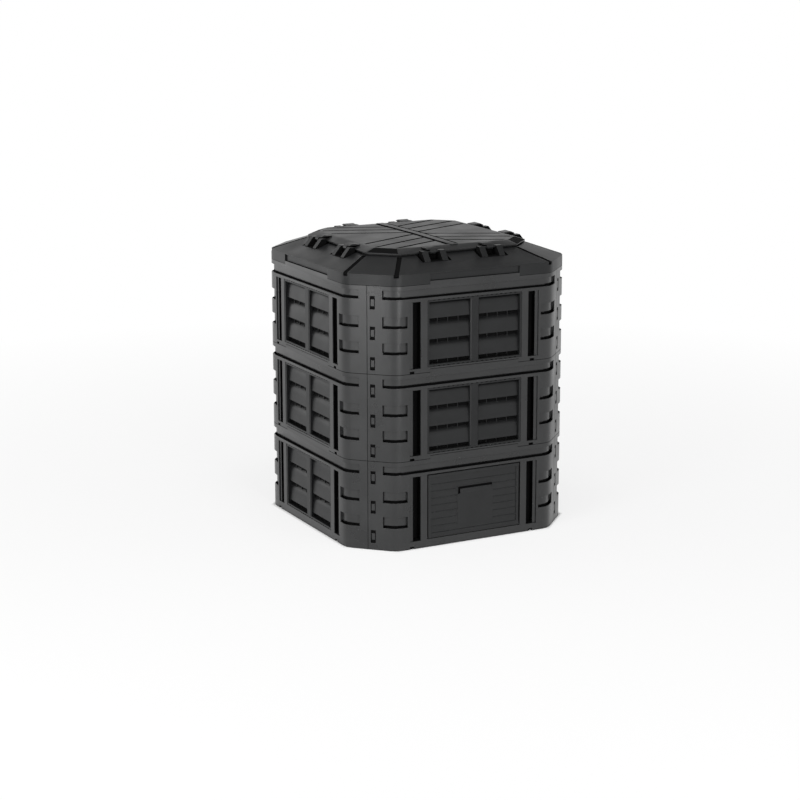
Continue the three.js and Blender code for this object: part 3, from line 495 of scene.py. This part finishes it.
def shade_and_joint_places(tree, shade_start, joints):
    """A value that is 1 where painted shade darkens the surface in its recesses, and along the dark
    joints if asked for
    """
    open_air = tree.nodes.new("ShaderNodeAmbientOcclusion")
    open_air.samples = SHADE_SAMPLES
    open_air.inputs["Distance"].default_value = SHADE_REACH
    shade_and_joints = remap(tree, open_air.outputs["AO"], shade_start, SHADE_FULL)
    if joints:
        shade_and_joints = calculate(tree, "MAXIMUM", shade_and_joints, joint_lines(tree))
    return shade_and_joints


def moulded_plastic(name, color, roughness, specular, dust, edge_radius=EDGE_RADIUS,
                    shade_start=SHADE_START, joints=False):
    material = new_material(name)
    tree = material.node_tree
    output = tree.nodes.new("ShaderNodeOutputMaterial")
    shader = tree.nodes.new("ShaderNodeBsdfPrincipled")
    shader.inputs["Specular IOR Level"].default_value = specular
    cloud = remap(tree, noise(tree, CLOUD_SCALE, CLOUD_DETAIL), *CLOUD_SPAN)
    tree.links.new(dusty_color(tree, cloud, color, dust), shader.inputs["Base Color"])
    sheen = remap(tree, cloud, 0, 1, roughness - SHEEN_SPREAD, roughness + SHEEN_SPREAD)
    tree.links.new(sheen, shader.inputs["Roughness"])
    tree.links.new(grained_normal(tree, edge_radius), shader.inputs["Normal"])
    look = shader.outputs["BSDF"]
    if shade_start > 0:
        shade_and_joints = shade_and_joint_places(tree, shade_start, joints)
        # painted shade: a near-black diffuse mixed in where the surface is hemmed in, and on the joints
        shade_and_joint_shader = tree.nodes.new("ShaderNodeBsdfDiffuse")
        shade_and_joint_shader.inputs["Color"].default_value = (*SHADE_AND_JOINT_COLOR, 1)
        look = blend_shaders(tree, shade_and_joints, look, shade_and_joint_shader.outputs["BSDF"])
    tree.links.new(look, output.inputs["Surface"])
    return material


# Pieces of the frame that keep their own solids
def smooth_by_angle():
    group = bpy.data.node_groups.new("smooth_by_angle", "GeometryNodeTree")
    group.interface.new_socket("Geometry", in_out="INPUT", socket_type="NodeSocketGeometry")
    group.interface.new_socket("Geometry", in_out="OUTPUT", socket_type="NodeSocketGeometry")
    start = group.nodes.new("NodeGroupInput")
    end = group.nodes.new("NodeGroupOutput")
    angle = group.nodes.new("GeometryNodeInputMeshEdgeAngle")
    compare = group.nodes.new("FunctionNodeCompare")
    compare.data_type = "FLOAT"
    compare.operation = "LESS_THAN"
    compare.inputs["B"].default_value = SMOOTH_ANGLE
    faces = group.nodes.new("GeometryNodeSetShadeSmooth")
    edges = group.nodes.new("GeometryNodeSetShadeSmooth")
    edges.domain = "EDGE"
    group.links.new(start.outputs[0], faces.inputs[0])
    group.links.new(faces.outputs[0], edges.inputs[0])
    group.links.new(angle.outputs["Unsigned Angle"], compare.inputs["A"])
    group.links.new(compare.outputs["Result"], edges.inputs["Shade Smooth"])
    group.links.new(edges.outputs[0], end.inputs[0])
    return group


def depth_inside(point):
    """How far a point lies behind the octagon of the walls' outer faces"""
    x, y = abs(point.x), abs(point.y)
    return min(HALF - x, HALF - y, (HALF + FLAT - x - y) * DIAGONAL)


def folded(point):
    """A point's place along the nearest side, from its middle, and how far out it lies"""
    x, y = abs(point.x), abs(point.y)
    return min(x, y), max(x, y)


def wall_in_painted_shade(polygon):
    """Baffles, the hook tab behind its slots and the ledge round the window, painted near-black as shade
    """
    centre = polygon.center
    depth = depth_inside(centre)
    on_corner = abs(centre.x) + abs(centre.y) > HALF + FLAT - CORNER_ZONE
    on_tab = on_corner and abs(depth - TAB_FACE) < LAYER
    on_ledge = folded(centre)[0] < LEDGE_END and abs(depth - LEDGE_FACE) < LAYER
    return depth > INNER_DEPTH or on_tab or on_ledge


def in_hip_groove(centre, normal):
    along, out = folded(centre)
    share = (out - SEAT_HALF) / (HALF - SEAT_HALF)
    aside = abs(along - SEAT_FLAT - share * (FLAT - SEAT_FLAT))
    if aside >= GROOVE_REACH or share >= 1 or normal.z <= -TILTED:
        return False
    hip_height = SEAT_Z - share * (SEAT_Z - RIM_TOP)
    return centre.z < hip_height - (GROOVE_FLOOR if normal.z > TILTED else LAYER)


def at_drain_notch(centre):
    along, out = folded(centre)
    return math.hypot(along - FLAT, out - HALF) < NOTCH_REACH and depth_inside(centre) > NOTCH_DEPTH


def in_clip_pocket(centre, normal):
    along, out = folded(centre)
    aside = abs(along - CLIP_SPACING)
    if aside > POCKET_HALF + LAYER or not POCKET_START < out < POCKET_END:
        return False
    if abs(normal.x if abs(centre.x) < abs(centre.y) else normal.y) > STRAIGHT:
        return True
    return centre.z < SEAT_Z - LAYER and not EAR_SPAN[0] < aside < EAR_SPAN[1]


def lid_in_painted_shade(polygon):
    """Grooves and notches along the hips, and the pockets of the clip stations, painted near-black as
    shade
    """
    centre, normal = polygon.center, polygon.normal
    if in_hip_groove(centre, normal):
        return centre.z > NOTCH_FOOT
    if at_drain_notch(centre):
        return NOTCH_FOOT - LAYER < centre.z < RIM_TOP
    return in_clip_pocket(centre, normal)


def hatch_in_painted_shade(polygon):
    """The veins in the crown, painted near-black as shade"""
    centre, normal = polygon.center, polygon.normal
    if folded(centre)[1] > CROWN_EDGE:
        return False
    on_floor = normal.z > STRAIGHT and centre.z < BEVEL_TOP - VEIN_FLOOR_DROP
    on_side = abs(normal.z) < UPRIGHT and centre.z > BEVEL_TOP - VEIN_SIDE_DROP
    return on_floor or on_side


def dress_node(name, material, smoothing, shade_material, in_painted_shade):
    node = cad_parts[name]
    mesh = node.data
    mesh.materials.clear()
    mesh.materials.append(material)
    mesh.materials.append(shade_material)
    if "custom_normal" in mesh.attributes:
        mesh.attributes.remove(mesh.attributes["custom_normal"])
    for polygon in mesh.polygons:
        # faces in hollows, grooves and pockets get the near-black painted shade
        polygon.material_index = PAINTED_SHADE if in_painted_shade(polygon) else SHOWN
    weld = node.modifiers.new("weld", "WELD")
    weld.merge_threshold = WELD_GAP
    smooth = node.modifiers.new("smooth_by_angle", "NODES")
    smooth.node_group = smoothing


# Mesh building in the frame of the front wall: x across, depth inwards, z up
class Builder:
    def __init__(self):
        self.mesh = bmesh.new()
        self.index = SHOWN

    def point(self, x, depth, z):
        return self.mesh.verts.new((x, depth - HALF, z))

    def face(self, corners):
        self.mesh.faces.new(corners).material_index = self.index

    def between(self, loops):
        """Faces between loops of points, with a face on each end"""
        count = len(loops[0])
        for low, high in zip(loops, loops[1:]):
            for i in range(count):
                j = (i + 1) % count
                self.face((low[i], low[j], high[j], high[i]))
        self.face(loops[0][::-1])
        self.face(loops[-1])

    def box(self, x0, x1, d0, d1, z0, z1):
        self.upright(((x0, d0), (x1, d0), (x1, d1), (x0, d1)), z0, z1)

    def upright(self, outline, z0, z1):
        """An outline in x and depth, from one height to another"""
        self.between([[self.point(x, d, z) for x, d in outline] for z in (z0, z1)])

    def run_along(self, outline, x0, x1):
        """An outline in depth and z, run along x"""
        self.between([[self.point(x, d, z) for d, z in outline] for x in (x0, x1)])

    def slab(self, outline, d0, d1):
        """An outline in x and z, from one depth to another"""
        self.between([[self.point(x, d, z) for x, z in outline] for d in (d0, d1)])

    def finish(self, name, turn, materials, body):
        mesh = bpy.data.meshes.new(name)
        bmesh.ops.recalc_face_normals(self.mesh, faces=self.mesh.faces)
        self.mesh.to_mesh(mesh)
        self.mesh.free()
        mesh.transform(Matrix.Rotation(turn, 4, "Z"))
        for polygon in mesh.polygons:
            polygon.use_smooth = True
        mesh.set_sharp_from_angle(angle=SMOOTH_ANGLE)
        for material in materials:
            mesh.materials.append(material)
        piece = bpy.data.objects.new(name, mesh)
        bpy.context.scene.collection.objects.link(piece)
        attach(piece, body)
        return piece


def quarter(face):
    return FACES.index(face) * math.pi / 2


# Places along a wall: corner 0 is its flat side, measured from the middle to the right,
# and corners -1 and 1 are the cut corners, measured from their middle to the flat side
def wall_point(corner, at, depth):
    if corner == 0:
        return Vector((at, depth - HALF))
    middle = (FLAT + HALF) / 2
    return Vector((corner * (middle - (at + depth) * DIAGONAL), (depth - at) * DIAGONAL - middle))


def corner_arc(corner, depth):
    """Points round the edge between the flat side and a cut corner, from left to right"""
    centre_x = corner * (FLAT - CORNER_RADIUS * math.tan(CORNER_TURN / 2))
    radius = CORNER_RADIUS - depth
    points = []
    for step in range(ARC_STEPS + 1):
        share = step / ARC_STEPS
        angle = CORNER_TURN * (share - 1 if corner < 0 else share)
        points.append(Vector((centre_x + radius * math.sin(angle),
                              CORNER_RADIUS - HALF - radius * math.cos(angle))))
    return points


def wall_path(start, end, depth):
    points = [wall_point(*start, depth)]
    if start[0] < 0 and end[0] > -1:
        points += corner_arc(-1, depth)
    if start[0] < 1 and end[0] > 0:
        points += corner_arc(1, depth)
    points.append(wall_point(*end, depth))
    return points


# Fittings behind a panel: hoods, lips and screens
def add_hood(builder, start, end, foot):
    """A small roof behind a slot, with a curtain that hangs below it, painted near-black as shade when a
    panel's fittings are built
    """
    near = RECESS + HOOD_ROOM
    far = near + HOOD_THICK
    low = foot - LOUVRE_SLOT - HOOD_DROP
    high = foot + HOOD_THICK
    section = ((RECESS, foot), (RECESS, high), (far, high), (far, low), (near, low), (near, foot))
    lines = [wall_path(start, end, depth) for depth, _ in section]
    loops = []
    for i in range(len(lines[0])):
        loops.append([builder.mesh.verts.new((line[i].x, line[i].y, z))
                      for line, (_, z) in zip(lines, section)])
    builder.between(loops)


def add_hoods(builder, top):
    """One behind the band's slot and one behind each block's"""
    reach = CORNER_REACH - SKIN
    end = BLOCK_FACE_END - SKIN
    add_hood(builder, (-1, reach), (1, reach), top - BAND_FOOT)
    for foot in BLOCK_FEET:
        add_hood(builder, (-1, reach), (0, -end), top - foot)
        add_hood(builder, (0, end), (1, reach), top - foot)


def add_lips(builder, top):
    """An upright lip that narrows each channel from behind, and its side towards the window"""
    z1 = top - CHANNEL_DROP
    z0 = z1 - CHANNEL_HEIGHT
    for sign in (-1, 1):
        low, high = sorted((sign * (CHANNEL_OUTER - CORNER_LIP), sign * (CHANNEL_OUTER + LIP_LAP)))
        builder.box(low, high, SKIN, SKIN + LIP_THICK, z0, z1)
        # the baffle behind the lip is painted near-black as shade
        builder.index = PAINTED_SHADE
        low, high = sorted(sign * x for x in BAFFLE_END)
        builder.box(low, high, SKIN, BAFFLE_DEPTH, z0, z1)
        builder.index = SHOWN


def add_key_screens(builder, base):
    """Screens behind the notches in a panel's lower edge, painted near-black as shade"""
    for left, right in (KEY_LEFT, KEY_RIGHT):
        builder.box(left, right, SCREEN_DEPTH, SCREEN_DEPTH + SCREEN_THICK,
                    max(base - SCREEN_DROP, 0), base + SCREEN_RISE)


def add_rim_screens(builder):
    """Screens inside the rim, behind the drain notches on its rounded edges, painted near-black as shade
    """
    turn = CORNER_TURN / 2
    reach = CORNER_RADIUS - RIM_SCREEN_DEPTH
    middle_x = FLAT - CORNER_RADIUS * math.tan(turn) + reach * math.sin(turn)
    middle_depth = CORNER_RADIUS - reach * math.cos(turn)
    for sign in (-1, 1):
        outline = []
        for along, inwards in ((-1, 0), (1, 0), (1, SCREEN_THICK), (-1, SCREEN_THICK)):
            x = middle_x + along * RIM_SCREEN_HALF * math.cos(turn) - inwards * math.sin(turn)
            depth = middle_depth + along * RIM_SCREEN_HALF * math.sin(turn) + inwards * math.cos(turn)
            outline.append((sign * x, depth))
        builder.upright(outline, RIM_TOP - RIM_SCREEN_FOOT, RIM_TOP - RIM_SCREEN_TOP)


def add_fittings(tier, face, wall, shade_material):
    builder = Builder()
    add_lips(builder, PANEL_TOPS[tier])
    # hoods and screens behind the slots and notches are painted near-black as shade
    builder.index = PAINTED_SHADE
    add_hoods(builder, PANEL_TOPS[tier])
    add_key_screens(builder, PANEL_FEET[tier])
    if tier == "top":
        add_rim_screens(builder)
    builder.finish(f"slot_fittings_{tier}_{face}", quarter(face), [wall, shade_material], "root")


# Vent insert: flange with dashed edges, reveals, mullion, curved blades, fins and upstands
def dashed_edge(half, z, inward):
    """Points along a flange's edge, with a row of shallow notches, from left to right"""
    count = int((2 * half - DASH_PITCH) / DASH_PITCH)
    start = -(count - 1) / 2 * DASH_PITCH
    points = [(-half, z)]
    for i in range(count):
        left = start + i * DASH_PITCH - DASH_LENGTH / 2
        right = left + DASH_LENGTH
        points += [(left, z), (left, z + inward), (right, z + inward), (right, z)]
    points.append((half, z))
    return points


def add_flange(builder, half, foot, top):
    inner_half = half - BORDER
    inner_foot, inner_top = foot + BORDER, top - BORDER
    lower = dashed_edge(half, foot, DASH_DEPTH)
    upper = dashed_edge(half, top, -DASH_DEPTH)
    builder.slab(lower + [(half, inner_foot), (-half, inner_foot)], FLANGE_FACE, FLANGE_BACK)
    builder.slab(upper[::-1] + [(-half, inner_top), (half, inner_top)], FLANGE_FACE, FLANGE_BACK)
    for x0, x1 in ((-half, -inner_half), (inner_half, half)):
        builder.box(x0, x1, FLANGE_FACE, FLANGE_BACK, inner_foot, inner_top)


def add_reveals(builder, half, foot, top):
    """Thin walls round the opening inside the flange"""
    for x in (-half - REVEAL_THICK, half):
        builder.box(x, x + REVEAL_THICK, FLANGE_BACK, INSERT_DEPTH, foot, top)
    for z in (foot - REVEAL_THICK, top):
        builder.box(-half, half, FLANGE_BACK, INSERT_DEPTH, z, z + REVEAL_THICK)


def add_mullion(builder, foot, top):
    half, cut = MULLION_HALF, MULLION_CHAMFER
    chamfer_end = FLANGE_FACE + cut
    outline = ((-half, chamfer_end), (-half + cut, FLANGE_FACE), (half - cut, FLANGE_FACE),
               (half, chamfer_end), (half, INSERT_DEPTH), (-half, INSERT_DEPTH))
    builder.upright(outline, foot, top)


def add_blade(builder, x0, x1, ridge, drop):
    front = [(depth, ridge - drop * share) for depth, share in zip(BLADE_DEPTHS, BLADE_FALL_SHARES)]
    back = [(depth + BLADE_THICK, z) for depth, z in front]
    back[0] = (RIDGE_DEPTH + BLADE_THICK, ridge - BLADE_THICK)
    builder.run_along(front + back[::-1], x0, x1)


def add_upstand(builder, x0, x1, foot, top):
    """A low wall in near-black painted shade that closes the sight line through a gap"""
    builder.index = PAINTED_SHADE
    builder.box(x0, x1, RIDGE_DEPTH, RIDGE_DEPTH + BLADE_THICK, foot, top)
    builder.index = SHOWN


def add_louvres(builder, x0, x1, foot, top):
    pitch = (top - foot) / LOUVRE_ROWS
    for row in range(LOUVRE_ROWS):
        ridge = top - row * pitch
        add_blade(builder, x0, x1, ridge, pitch * LOUVRE_DROP_SHARE)
        if row > 0:
            add_upstand(builder, x0, x1, ridge - BLADE_THICK, ridge + UPSTAND)
    add_upstand(builder, x0, x1, foot, foot + UPSTAND)
    for fin in range(1, FINS + 1):
        x = x0 + (x1 - x0) * fin / (FINS + 1)
        builder.box(x - FIN_THICK / 2, x + FIN_THICK / 2, FIN_FRONT, FIN_BACK, foot, top)


def add_vent(node, face, material, shade_material):
    low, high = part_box(node)
    half = (high.x - low.x) / 2 if face in ("front", "back") else (high.y - low.y) / 2
    builder = Builder()
    add_flange(builder, half, low.z, high.z)
    opening_half = half - BORDER
    foot, top = low.z + BORDER, high.z - BORDER
    add_reveals(builder, opening_half, foot, top)
    add_mullion(builder, foot, top)
    add_louvres(builder, -opening_half, -MULLION_HALF, foot, top)
    add_louvres(builder, MULLION_HALF, opening_half, foot, top)
    piece = builder.finish(f"{node}_detail", quarter(face), [material, shade_material], "root")
    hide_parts(node)


# Emptying flap: frame, sunk field with ribs, finger grip, bare square and hinge barrel
def add_flap_frame(builder, top):
    half, cut, bend = FLAP_HALF, FLAP_CHAMFER, FLAP_CHAMFER * CHAMFER_BEND_SHARE
    field_top = top - FLAP_BORDER
    top_bar = ((0, field_top), (0, top - cut), (bend, top - bend), (cut, top), (FLAP_BACK, top),
               (FLAP_BACK, field_top))
    builder.run_along(top_bar, -half, half)
    builder.box(-half, half, 0, FLAP_BACK, FLAP_FOOT, FIELD_FOOT)
    for sign in (-1, 1):
        outline = [(sign * FIELD_HALF, 0), (sign * (half - cut), 0), (sign * half, cut),
                   (sign * half, FLAP_BACK), (sign * FIELD_HALF, FLAP_BACK)]
        builder.upright(outline, FIELD_FOOT, field_top)


def add_field(builder, field_top, grip_foot, grip_top):
    """The sunk field, in four strips round the grip"""
    for x0, x1, z0, z1 in ((-FIELD_HALF, FIELD_HALF, FIELD_FOOT, grip_foot),
                           (-FIELD_HALF, FIELD_HALF, grip_top, field_top),
                           (-FIELD_HALF, GRIP_LEFT, grip_foot, grip_top),
                           (GRIP_RIGHT, FIELD_HALF, grip_foot, grip_top)):
        builder.box(x0, x1, FIELD_FACE, FIELD_BACK, z0, z1)


def add_ribs(builder, field_top, plaque_foot, grip_top):
    """Level ribs, broken round the grip and the bare square"""
    whole = ((-FIELD_HALF, FIELD_HALF),)
    broken = ((-FIELD_HALF, PLAQUE_LEFT), (PLAQUE_RIGHT, FIELD_HALF))
    crest = FIELD_FACE - RIB_RAISE
    pitch = (field_top - FIELD_FOOT) / (FLAP_RIBS + 1)
    for rib in range(1, FLAP_RIBS + 1):
        z = FIELD_FOOT + rib * pitch
        profile = ((FIELD_FACE, z - RIB_HALF), (crest, z - RIB_HALF * RIB_CREST_SHARE), (crest, z),
                   (FIELD_FACE, z + RIB_HALF))
        beside_square = plaque_foot - RIB_HALF < z < grip_top + RIB_HALF
        for x0, x1 in broken if beside_square else whole:
            builder.run_along(profile, x0, x1)


def add_plaque(builder, foot, grip_foot, grip_top):
    """The bare square, raised a little round and under the grip"""
    for x0, x1, z0, z1 in ((PLAQUE_LEFT, PLAQUE_RIGHT, foot, grip_foot),
                           (PLAQUE_LEFT, PLAQUE_RIGHT, grip_top, grip_top + 2 * RIB_HALF),
                           (PLAQUE_LEFT, GRIP_LEFT, grip_foot, grip_top),
                           (GRIP_RIGHT, PLAQUE_RIGHT, grip_foot, grip_top)):
        builder.box(x0, x1, PLAQUE_FACE, FIELD_FACE, z0, z1)


def add_grip(builder, foot, top):
    """A ramp, and a box in near-black painted shade whose deep part shows along the ramp's top and left
    end
    """
    ramp_top = top - GRIP_ROOF
    ramp = ((PLAQUE_FACE, foot), (GRIP_DEPTH * RAMP_BEND_SHARE, ramp_top), (GRIP_DEPTH, ramp_top),
            (GRIP_DEPTH, foot))
    builder.run_along(ramp, GRIP_LEFT + GRIP_SIDE, GRIP_RIGHT)
    builder.index = PAINTED_SHADE
    left, right = GRIP_LEFT - GRIP_WALL, GRIP_RIGHT + GRIP_WALL
    builder.box(left, right, GRIP_DEPTH, GRIP_DEPTH + GRIP_WALL, foot - GRIP_WALL, top + GRIP_WALL)
    for z in (top, foot - GRIP_WALL):
        builder.box(left, right, FIELD_BACK, GRIP_DEPTH, z, z + GRIP_WALL)
    for x in (left, GRIP_RIGHT):
        builder.box(x, x + GRIP_WALL, FIELD_BACK, GRIP_DEPTH, foot, top)
    builder.index = SHOWN


def add_rod(builder, radius, x0, x1):
    """A round bar on the hinge's axis"""
    outline = []
    for i in range(ROD_SIDES):
        angle = math.tau * i / ROD_SIDES
        outline.append((AXIS_DEPTH + radius * math.cos(angle), AXIS_HEIGHT + radius * math.sin(angle)))
    builder.run_along(outline, x0, x1)


def add_flap_hinge(builder):
    builder.box(-BARREL_HALF, BARREL_HALF, HINGE_STRIP_FACE, FLAP_BACK, AXIS_HEIGHT, FLAP_FOOT)
    add_rod(builder, BARREL_RADIUS, -BARREL_HALF, BARREL_HALF)
    for sign in (-1, 1):
        x0, x1 = sorted((sign * BARREL_HALF, sign * FLAP_PIN_END))
        add_rod(builder, FLAP_PIN_RADIUS, x0, x1)


def add_flap(material, shade_material):
    _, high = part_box("emptying_flap")
    field_top = high.z - FLAP_BORDER
    grip_top = high.z - GRIP_DROP
    grip_foot = grip_top - GRIP_HEIGHT
    plaque_foot = high.z - PLAQUE_DROP
    builder = Builder()
    add_flap_frame(builder, high.z)
    add_field(builder, field_top, grip_foot, grip_top)
    add_ribs(builder, field_top, plaque_foot, grip_top)
    add_plaque(builder, plaque_foot, grip_foot, grip_top)
    add_grip(builder, grip_foot, grip_top)
    add_flap_hinge(builder)
    piece = builder.finish("emptying_flap_detail", 0, [material, shade_material], "flap")
    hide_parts("emptying_flap")


bpy.context.scene.view_settings.view_transform = "Standard"
add_camera()
add_sweep()
add_world()
for light_name, light in SOFTBOXES.items():
    add_softbox(light_name, **light)

WALL, VENT, FLAP, LID, HATCH, SHADE_MATERIAL = (moulded_plastic(name, **look) for name, look in LOOKS.items())
SMOOTHING = smooth_by_angle()
# each kept solid with its plastic and its test for faces painted near-black as shade
KEPT_SOLIDS = {"wall": (WALL, wall_in_painted_shade), "lid": (LID, lid_in_painted_shade), "hatch": (HATCH, hatch_in_painted_shade)}
for node_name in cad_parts:
    kind, *place = node_name.split("_")
    if kind == "vent":
        add_vent(node_name, place[-1], VENT, SHADE_MATERIAL)
    elif kind in KEPT_SOLIDS:
        kind_look, kind_in_painted_shade = KEPT_SOLIDS[kind]
        dress_node(node_name, kind_look, SMOOTHING, SHADE_MATERIAL, kind_in_painted_shade)
add_flap(FLAP, SHADE_MATERIAL)
for tier_name in PANEL_TOPS:
    for face_name in FACES:
        add_fittings(tier_name, face_name, WALL, SHADE_MATERIAL)
